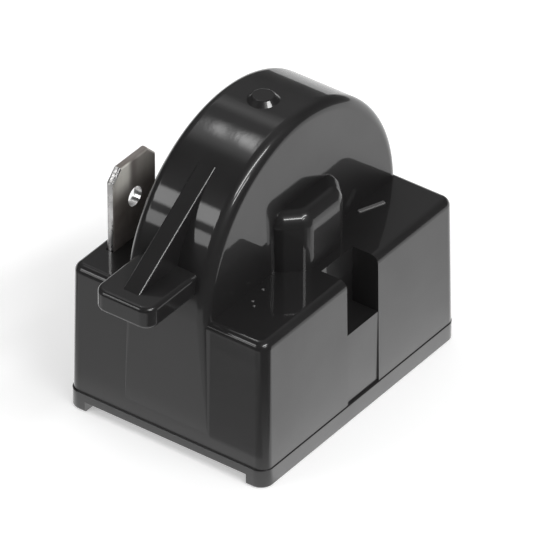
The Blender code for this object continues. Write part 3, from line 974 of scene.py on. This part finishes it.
    def _gusset(self) -> Piece:
        """Model the sloped rib that stiffens the tongue.

        Returns:
            The gusset.
        """
        toe, top, half = self.tongue_tip + self.gusset_setback, self.tongue_top, self.gusset_width / 2
        root = toe + self.gusset_length
        rise = self.gusset_length * math.tan(math.radians(self.gusset_slope_deg))
        gusset = Bench.block("gusset", (toe, -half, top - self.gusset_root), (root, half, top))
        Bench.shift(gusset, (0, 0, rise), lambda v: v.co.x > root - NEAR and v.co.z > top - NEAR)
        Bench.round_edges(gusset, self.gusset_fillet, 6,
                          lambda e: up_at(top)(e) and abs(e.verts[0].co.x - e.verts[1].co.x) > NEAR)
        return gusset

    def _boss(self) -> Piece:
        """Model the boss on the dome's front face.

        Returns:
            The boss.
        """
        face_y, front_y = -self.half_top, -self.half_top - self.boss_reach
        half = self.boss_front / 2 + self.boss_chamfer
        low, high = self.top - self.wall / 2, self.top + self.boss_height
        boss = Bench.block("boss", (-half, front_y, low), (half, face_y + self.dome_wall / 2, high))
        Bench.round_edges(boss, self.boss_chamfer, 1,
                          lambda e: upright(e) and all(v.co.y < front_y + NEAR for v in e.verts))
        Bench.round_edges(boss, self.boss_edge, 5,
                          lambda e: upright(e) and all(v.co.y < face_y - self.boss_clear for v in e.verts))
        Bench.round_edges(boss, self.boss_fillet, 8,
                          lambda e: up_at(high)(e) and min(v.co.y for v in e.verts) < face_y)
        return boss

    def _notch(self, shell: Piece) -> None:
        """Cut the notch and the shallow channel below it.

        Args:
            shell: the housing so far.
        """
        (x0, x1), outer = self.notch_sides, -self.width / 2
        front = outer - 2 * self.past
        Bench.combine(shell, Bench.block("notch", (x0, front, self.notch_floor),
                                         (x1, outer + self.notch_depth, self.top + self.past)), Join.CUT)
        Bench.combine(shell, Bench.block(
            "channel", (x0, front, self.foot - self.past),
            (x1, outer + self.channel_depth, self.notch_floor + self.past / 2)), Join.CUT)

    def _hollow(self, shell: Piece) -> None:
        """Cut the room for the pill, the terminals and the base's lip.

        Args:
            shell: the housing so far.
        """
        inner_x, inner_y = self.length / 2 - self.wall, self.width / 2 - self.wall
        ceiling, bulk = self.top - self.wall, self.pocket + self.bulkhead
        lowest, lower, low = (self.foot - self.past - n * self.stagger for n in (3, 2, 1))
        x0, x1 = self.notch_sides[0] - self.notch_wall, self.notch_sides[1] + self.notch_wall
        radius, slot = self.dome_radius - self.dome_wall, self.blade_width / 2 + self.slot_gap
        pocket = Bench.rod("pocket", (self.dome_x, 0, self.dome_height), radius, 2 * self.pocket, 128, True)
        Bench.combine(pocket, Bench.block("pocket_foot", (self.dome_x - radius, -self.pocket, lowest),
                                          (self.dome_x + radius, self.pocket, self.dome_height)), Join.UNION)
        rooms = (
            Bench.block("lobby", (-inner_x, -inner_y, self.foot - self.past),
                        (inner_x, inner_y, self.lobby_top)),
            pocket,
            Bench.block("run_bay", (-inner_x, -inner_y, low), (x0, -bulk, ceiling)),
            Bench.block("start_bay", (x1, -inner_y, low), (inner_x, -bulk, ceiling)),
            Bench.block("spring_bay", (x0 - self.past, -inner_y + self.stagger, lower),
                        (x1 + self.past, -bulk - self.stagger, self.notch_floor - self.notch_wall)),
            Bench.block("blade_bay", (-inner_x, bulk, low), (inner_x, inner_y, ceiling)),
            Bench.block("slot", (self.blade_x - slot, self.blade_y - self.slot_half, ceiling - self.past),
                        (self.blade_x + slot, self.blade_y + self.slot_half, self.top + self.past)),
        )
        for room in rooms:
            Bench.combine(shell, room, Join.CUT)

    def _gate(self) -> Piece:
        """Model the round button that the moulding gate left on the crown.

        Returns:
            The button.
        """
        foot, high = self.crown - self.gate_sink, self.crown + self.gate_rise
        button = Bench.rod("gate", (self.gate_x, 0, (foot + high) / 2), self.gate_radius, high - foot, 64)
        Bench.pick(button, Element.VERT, lambda v: v.co.z > high - NEAR)
        share = self.gate_top_radius / self.gate_radius
        bpy.ops.transform.resize(value=(share, share, 1), center_override=(self.gate_x, 0, high))
        Bench.leave()
        Bench.draw_down(button, self.dome_wall / 2)
        Bench.round_edges(button, self.gate_fillet, 4, up_at(high))
        return button

    def _bar(self) -> Piece:
        """Model the short raised bar on the box top.

        Returns:
            The bar.
        """
        long, wide, tall = self.bar_size
        bar = Bench.block("bar", (-long / 2, -wide / 2, self.top - self.bar_sink),
                          (long / 2, wide / 2, self.top + tall))
        Bench.round_edges(bar, self.bar_fillet, 3, lambda e: max(v.co.z for v in e.verts) > self.top)
        bar.rotation_euler.z = math.radians(self.bar_turn_deg)
        bar.location = (*self.bar_middle, 0)
        return Bench.fix_place(bar)

    def _pimple(self, x: float, y: float) -> Piece:
        """Model one small round pimple on the box top.

        Args:
            x: its place along the box.
            y: its place across the box.

        Returns:
            The pimple.
        """
        bpy.ops.object.select_all(action="DESELECT")
        bpy.ops.mesh.primitive_uv_sphere_add(segments=24, ring_count=16, radius=self.pimple_radius,
                                             location=(x, y, self.top - self.pimple_sink))
        return Bench.name_new("pimple")


@dataclass
class Base:
    """The base cover: a plate on two rails, with a locating lip, a saddle and the pin holes."""

    low_x: float = -14.45
    high_x: float = 14.36
    half_y: float = 10.79
    height: float = 1.9
    corner_radius: float = 1.3
    bottom_fillet: float = 0.25
    top_edge: float = 0.07
    rail_width: float = 2.0
    rail_height: float = 1.1
    lip_x: float = 12.8
    lip_y: float = 9.25
    lip_corner: float = 0.8
    lip_thickness: float = 0.9
    lip_height: float = 0.8
    root: float = 0.4
    saddle_half: float = 3.8
    saddle_thickness: float = 2.2
    saddle_top: float = 6.5
    pill_x: float = -0.28
    pill_height: float = 14.88
    pill_reach: float = 10.3
    pin_x: Span = (-7.0, 7.0)
    pin_y: float = -6.64
    hole_radius: float = 2.0
    hole_edge: float = 0.1
    collar_radius: float = 2.65
    collar_foot: float = 1.5
    collar_top: float = 2.9
    past: float = 1.0

    def build(self) -> Piece:
        """Model the base.

        Returns:
            The finished base.
        """
        base = Bench.block("base_moulding", (self.low_x, -self.half_y, 0),
                           (self.high_x, self.half_y, self.height))
        Bench.round_edges(base, self.corner_radius, 12, upright)
        Bench.round_edges(base, self.bottom_fillet, 5, lambda e: all(v.co.z < NEAR for v in e.verts))
        Bench.round_edges(base, self.top_edge, 4, up_at(self.height))
        Bench.combine(base, Bench.block(
            "underside", (self.low_x - self.past, -self.half_y + self.rail_width, -self.past),
            (self.high_x + self.past, self.half_y - self.rail_width, self.rail_height)), Join.CUT)
        self._lip(base)
        self._saddle(base)
        for x in self.pin_x:
            collar = (x, self.pin_y, (self.collar_top + self.collar_foot) / 2)
            Bench.combine(base, Bench.rod("collar", collar, self.collar_radius,
                                          self.collar_top - self.collar_foot, 64), Join.UNION)
            Bench.combine(base, Bench.rod("hole", (x, self.pin_y, self.collar_foot),
                                          self.hole_radius, 5 * self.past, 64), Join.CUT)
        Bench.round_edges(base, self.hole_edge, 3, lambda e: all(self._is_on_mouth(v.co) for v in e.verts))
        base.data.materials.append(BASE.make())
        Bench.shade(base)
        return base

    def _is_on_mouth(self, place: Vector) -> bool:
        """Say whether a point lies on the lower mouth of a pin hole."""
        return abs(place.z - self.rail_height) < NEAR and any(
            abs(math.hypot(place.x - x, place.y - self.pin_y) - self.hole_radius) < NEAR for x in self.pin_x)

    def _lip(self, base: Piece) -> None:
        """Stand the locating lip on the plate.

        Args:
            base: the base so far.
        """
        lip = Bench.block("lip", (-self.lip_x, -self.lip_y, self.height - self.root),
                          (self.lip_x, self.lip_y, self.height + self.lip_height))
        Bench.round_edges(lip, self.lip_corner, 6, upright)
        Bench.combine(base, lip, Join.UNION)
        room_x, room_y = self.lip_x - self.lip_thickness, self.lip_y - self.lip_thickness
        Bench.combine(base, Bench.block("lip_room", (-room_x, -room_y, self.height),
                                        (room_x, room_y, self.height + 3 * self.past)), Join.CUT)

    def _saddle(self, base: Piece) -> None:
        """Stand the saddle that carries the pill.

        Args:
            base: the base so far.
        """
        half = self.saddle_thickness / 2
        saddle = Bench.block("saddle", (self.pill_x - self.saddle_half, -half, self.height - self.root),
                             (self.pill_x + self.saddle_half, half, self.saddle_top))
        Bench.combine(saddle, Bench.rod("pill_room", (self.pill_x, 0, self.pill_height), self.pill_reach,
                                        6 * self.past, 192, True), Join.CUT)
        Bench.combine(base, saddle, Join.UNION)


@dataclass
class Blade:
    """The supply terminal: the blade through the roof and the strap under the pill."""

    centre_x: float = -7.35
    width: float = 6.3
    face_y: float = 8.45
    sheet: float = 0.8
    floor: float = 3.2
    tip: float = 23.4
    tip_chamfer: float = 1.2
    coined: float = 0.28
    side_round: float = 0.37
    hole_from_tip: float = 4.05
    hole_radius: float = 0.95
    pin_x: float = -7.0
    pin_y: float = -6.64
    pin_hole: float = 1.7
    strap_half: float = 2.6
    arm_width: float = 3.9
    arm_reach: float = 2.6
    arm_root: float = 1.0
    rivet_x: float = -0.28
    rivet_y: float = 6.5
    rivet_hole: float = 1.1
    worn_sheen_from: float = 12.0
    worn_sheen_reach: float = 1.2
    worn_sheen_facing: float = 0.3
    flat_share: float = 0.85
    cutter: float = 3.0

    @property
    def hole_height(self) -> float:
        """Height of the tip's hole."""
        return self.tip - self.hole_from_tip

    def _edge_rounding(self, a: Vector, b: Vector) -> float:
        """Say how much of the side's rounding an edge of the blade gets.

        Args:
            a: one end of the edge.
            b: its other end.

        Returns:
            A share from 0 to 1.
        """
        if abs(a.y - b.y) > NEAR or max(a.z, b.z) < self.floor + NEAR:
            return 0.0
        return 1.0 if abs(a.x - b.x) < NEAR else self.coined / self.side_round

    def build(self) -> Piece:
        """Model the terminal.

        Returns:
            The finished terminal.
        """
        half, middle, top = self.width / 2, self.face_y + self.sheet / 2, self.floor + self.sheet
        blade = Bench.block("supply_blade", (self.centre_x - half, self.face_y, self.floor),
                            (self.centre_x + half, self.face_y + self.sheet, self.tip))
        Bench.round_edges(blade, self.tip_chamfer, 1,
                          lambda e: up_at(self.tip)(e) and abs(e.verts[0].co.y - e.verts[1].co.y) > NEAR)
        Bench.round_by_weight(blade, self.side_round, 4, self._edge_rounding)
        Bench.combine(blade, Bench.rod("hole", (self.centre_x, middle, self.hole_height),
                                       self.hole_radius, self.cutter, 64, True), Join.CUT)
        strap, end = self.strap_half, self.pin_x + self.strap_half
        Bench.combine(blade, Bench.block("strap", (self.pin_x - strap, self.pin_y - strap, self.floor),
                                         (end, middle, top)), Join.UNION)
        Bench.combine(blade, Bench.block("arm", (end - self.arm_root, middle - self.arm_width, self.floor),
                                         (self.arm_reach, middle, top)), Join.UNION)
        for x, y, radius in ((self.pin_x, self.pin_y, self.pin_hole),
                             (self.rivet_x, self.rivet_y, self.rivet_hole)):
            hole = Bench.rod("strap_hole", (x, y, self.floor), radius, self.cutter, 48)
            Bench.combine(blade, hole, Join.CUT)
        # The -X edge and the hole wall take the bright tin, partly wear and partly a painted reflection.
        for finish in (BLADE, WORN_AND_SHEEN_EDGE):
            blade.data.materials.append(finish.make())
        for face in blade.data.polygons:
            face.material_index = int(self._is_worn_and_sheened(face))
        Bench.shade(blade)
        return blade

    def _is_worn_and_sheened(self, face: bpy.types.MeshPolygon) -> bool:
        """Say whether a face lies on the blade's -X edge or in its hole, which get bright bare tin: partly
        wear, partly a painted reflection of the white surround.

        Args:
            face: a face of the blade.

        Returns:
            True for a worn face.
        """
        away = math.hypot(face.center.x - self.centre_x, face.center.z - self.hole_height)
        on_edge = abs(face.normal.y) < self.flat_share and face.center.z > self.worn_sheen_from
        return on_edge and (-face.normal.x > self.worn_sheen_facing or away < self.worn_sheen_reach)


@dataclass(frozen=True)
class Lamp:
    """One soft lamp, placed by its direction from a point on the relay."""

    name: str
    azimuth: float
    elevation: float
    distance: float
    width: float
    height: float
    radiance: float
    soft_width: float
    soft_height: float
    aim: Triple = LOOK_AT
    along_arch: bool = False

    def hang(self) -> None:
        """Hang the lamp so that it faces its aim, given in millimetres about the box's middle."""
        away = direction(self.azimuth, self.elevation)
        side = away.cross(Vector((0, 1, 0))) if self.along_arch else Vector((0, 0, 1)).cross(away)
        side.normalize()
        light = bpy.data.lights.new(self.name, "AREA")
        light.shape = "RECTANGLE"
        light.size, light.size_y = self.width, self.height
        light.energy = self.radiance * math.pi * self.width * self.height
        self._soften(light)
        stand(self.name, light, metres(self.aim) + away * self.distance,
              Matrix((side, away.cross(side), away)).transposed().to_quaternion())

    def _soften(self, light: bpy.types.Light) -> None:
        """Let the lamp's glow fade towards its edges, as a diffuser's does.

        Args:
            light: the lamp's data.
        """
        light.use_nodes = True
        nodes = Nodes(light.node_tree)
        place = nodes.add("ShaderNodeNewGeometry").outputs["Parametric"]
        split = nodes.add("ShaderNodeSeparateXYZ", Vector=place)
        fades = []
        for axis, soft in (("X", self.soft_width), ("Y", self.soft_height)):
            from_middle = nodes.math("ABSOLUTE", nodes.math("SUBTRACT", split.outputs[axis], 0.5))
            fades.append(nodes.smooth(from_middle, (0.5 - soft, 0.5), FALL))
        glow = next(node for node in nodes.tree.nodes if node.type == "EMISSION")
        nodes.fill(glow, Strength=nodes.product(*fades))


@dataclass
class Studio:
    """Floor, world, lamps and camera."""

    camera_azimuth: float = -143.5096
    camera_elevation: float = 35.6877
    camera_distance: float = 0.81946
    lens: float = 613.07
    sensor: float = 36.0
    shift: Span = (0.02125, -0.04074)
    floor_size: float = 6.0
    floor_colour: Colour = (0.85, 0.85, 0.85)
    floor_glow: float = 0.35
    outline: Span = (14.45, 10.9)
    right_of: tuple[float, Span] = (0.0, (-12.0, -6.0))
    right_soft: Span = (-0.16, 0.035)
    front_of: tuple[float, Span] = (41.0, (-15.0, -13.0))
    front_soft: Span = (-0.08, 0.08)
    near_glow: Span = (0.62, 0.22)
    near_reach: float = 9.0
    base_glow: float = 0.3
    base_reach: float = 2.6
    patch_of: tuple[float, Span] = (168.0, (0.0, 0.0))
    patch_glow: float = 0.55
    patch_soft: Span = (0.67, 0.87)
    patch_end: Span = (30.0, 44.0)
    far_glow: Span = (0.08, 0.92)
    table_end: Span = (387.0, 494.5)
    table_fade: Span = (1.0, 0.1)
    fill: float = 0.55
    overhead: Triple = (0.5, 0.4, 0.77)
    overhead_soft: Span = (0.7, 0.98)
    overhead_glow: Span = (0.045, 0.19)

    # Azimuth, elevation, distance, width, height, radiance, and the soft share across and up.
    lamps: tuple[Lamp, ...] = (
        Lamp("softbox_upper", 144.0, 33.6, 0.8, 0.30, 0.17, 4.0, 0.2, 0.2),
        Lamp("softbox_lower", 147.0, 19.6, 0.8, 0.30, 0.137, 2.9, 0.2, 0.2),
        Lamp("low_key", -106.0, 36.0, 0.8, 0.35, 0.07, 15.0, 0.15, 0.3),
        Lamp("key_strip", -100.0, 52.0, 0.8, 0.66, 0.10, 13.0, 0.15, 0.3),
        Lamp("key_glow", -100.0, 52.0, 0.82, 0.75, 0.40, 2.5, 0.3, 0.45),
        Lamp("overhead_glow", 72.0, 63.0, 0.8, 0.5, 0.2, 1.5, 0.5, 0.5),
        Lamp("spot_left", 72.7, 59.0, 0.15, 0.044, 0.0034, 4.9, 0.5, 0.5, (-4.99, 1.1, 28.22), True),
        Lamp("spot_right", 72.5, 59.2, 0.15, 0.048, 0.0034, 6.0, 0.5, 0.5, (-5.0, -1.85, 28.22), True),
        Lamp("crown_glow", 46.0, 47.6, 0.8, 0.2, 0.3, 0.6, 0.5, 0.1, along_arch=True),
    )

    def build(self) -> None:
        """Set up everything that isn't the relay."""
        self._floor()
        self._world()
        for lamp in self.lamps:
            lamp.hang()
        self._camera()

    def _floor(self) -> None:
        """Lay the pale floor."""
        bpy.ops.object.select_all(action="DESELECT")
        bpy.ops.mesh.primitive_plane_add(size=self.floor_size)
        floor = bpy.context.active_object
        floor.name = "pale_floor"
        made, nodes, shader = Finish("pale_floor").start()
        rays = nodes.add("ShaderNodeLightPath")
        glow = nodes.remap(rays.outputs["Is Camera Ray"], RISE, (0.0, self.floor_glow))
        nodes.fill(shader, Base_Color=(*self.floor_colour, 1.0), Roughness=0.9, Specular_IOR_Level=0.0,
                   Emission_Color=WHITE, Emission_Strength=glow)
        in_gloss = nodes.add("ShaderNodeEmission", Strength=self._mirrored_floor(nodes))
        surface = nodes.mix(nodes.mirrored(rays), shader.outputs[0], in_gloss.outputs[0])
        nodes.feed(made.node_tree.nodes["Material Output"].inputs["Surface"], surface)
        floor.data.materials.append(made)

    def _mirrored_floor(self, nodes: Nodes) -> Socket:
        """Give the floor's brightness in reflections: bright to the right, dark away to the left.

        Args:
            nodes: the floor material's nodes.

        Returns:
            The brightness.
        """
        x, y, _ = nodes.millimetres()

        def outside(value: Socket, half: float) -> Socket:
            """Give how far a coordinate lies outside the relay's outline."""
            return nodes.math("MAXIMUM", nodes.math("SUBTRACT", nodes.math("ABSOLUTE", value), half), 0.0)

        def length(a: Socket, b: Socket) -> Socket:
            """Give the length of a flat vector, which is never quite 0."""
            squares = nodes.math("ADD", nodes.product(a, a), nodes.product(b, b))
            return nodes.math("SQRT", nodes.math("ADD", squares, 1e-4))

        def facing(azimuth: float, centre: Span) -> Socket:
            """Give the cosine between an azimuth and the point's direction from a centre.

            Args:
                azimuth: degrees from +X.
                centre: X and Y of the place that the direction starts from.

            Returns:
                The cosine.
            """
            turn = math.radians(azimuth)
            dx, dy = nodes.math("SUBTRACT", x, centre[0]), nodes.math("SUBTRACT", y, centre[1])
            along = nodes.math("ADD", nodes.product(dx, math.cos(turn)), nodes.product(dy, math.sin(turn)))
            return nodes.math("DIVIDE", along, length(dx, dy))

        def glow(reach: float) -> Socket:
            """Give a glow that fades with the distance from the relay's outline."""
            share = nodes.product(away, 1 / reach)
            return nodes.math("POWER", math.e, nodes.product(share, share, -1.0))

        away = length(*(outside(value, half) for value, half in zip((x, y), self.outline)))
        right, front = facing(*self.right_of), facing(*self.front_of)
        lit = nodes.product(nodes.smooth(right, self.right_soft, RISE),
                            nodes.smooth(front, self.front_soft, RISE))
        far = nodes.remap(lit, RISE, self.far_glow)
        wide = nodes.product(glow(self.near_reach), nodes.smooth(right, self.right_soft, self.near_glow))
        near = nodes.math("ADD", wide, nodes.product(glow(self.base_reach), self.base_glow))
        patch = nodes.product(
            nodes.smooth(facing(*self.patch_of), self.patch_soft, (0.0, self.patch_glow)),
            nodes.smooth(away, self.patch_end, FALL))
        bright = nodes.math("MAXIMUM", nodes.math("ADD", far, near), patch)
        return nodes.product(bright, nodes.smooth(away, self.table_end, self.table_fade))

    def _world(self) -> None:
        """Make the white surround, dark overhead in reflections."""
        world = bpy.data.worlds.new("surround")
        world.use_nodes = True
        bpy.context.scene.world = world
        world.node_tree.nodes.clear()
        nodes = Nodes(world.node_tree)
        rays = nodes.add("ShaderNodeLightPath")
        towards = nodes.add("ShaderNodeVectorMath", operation="DOT_PRODUCT")
        nodes.feed(towards.inputs[0], nodes.add("ShaderNodeTexCoord").outputs["Generated"])
        nodes.feed(towards.inputs[1], self.overhead)
        overhead = nodes.smooth(towards.outputs["Value"], self.overhead_soft, self.overhead_glow)
        white, fill, gloss = (nodes.add("ShaderNodeBackground", Color=WHITE, Strength=strength).outputs[0]
                              for strength in (1.0, self.fill, overhead))
        shaded = nodes.mix(nodes.mirrored(rays), fill, gloss)
        nodes.add("ShaderNodeOutputWorld", Surface=nodes.mix(rays.outputs["Is Camera Ray"], shaded, white))

    def _camera(self) -> None:
        """Set the camera at the photograph's viewing angle."""
        back = direction(self.camera_azimuth, self.camera_elevation)
        data = bpy.data.cameras.new("camera")
        data.sensor_width, data.lens = self.sensor, self.lens
        data.shift_x, data.shift_y = self.shift
        data.clip_start, data.clip_end = 0.01, 20.0
        bpy.context.scene.camera = stand("camera", data, metres(LOOK_AT) + back * self.camera_distance,
                                         back.to_track_quat("Z", "Y"))


class Relay:
    """The whole relay: the re-modelled outer pieces and the dressed inner nodes."""

    def __init__(self, frame: dict) -> None:
        self.frame = frame

    def build(self) -> None:
        """Build and dress every piece."""
        Bench.seat(Shell().build(), "housing", "black_shell")
        Bench.seat(Base().build(), "base_cover", "black_base")
        Bench.seat(Blade().build(), "line_terminal", "tinned_brass")
        dressed = {
            CERAMIC: ("ptc_pill",),
            BLADE: ("start_terminal",),
            BRASS: ("run_pin_sleeve", "start_pin_sleeve", "run_spring_rivet", "start_spring_rivet"),
            STEEL: ("run_sleeve_clip", "start_sleeve_clip", "run_contact_spring", "start_contact_spring"),
        }
        for finish, names in dressed.items():
            made = finish.make()
            for name in names:
                node = self.frame["nodes"][name]
                if node.material_slots:
                    node.material_slots[0].material = made
                else:
                    node.data.materials.append(made)
                LOG.info("%s: dressed", name)


def main() -> None:
    """Load the frame, and build the relay and the studio."""
    logging.basicConfig(level=logging.INFO, format="%(name)s: %(message)s")
    bpy.context.scene.view_settings.view_transform = "Standard"
    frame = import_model()
    Relay(frame).build()
    Studio().build()


if __name__ == "__main__":
    main()
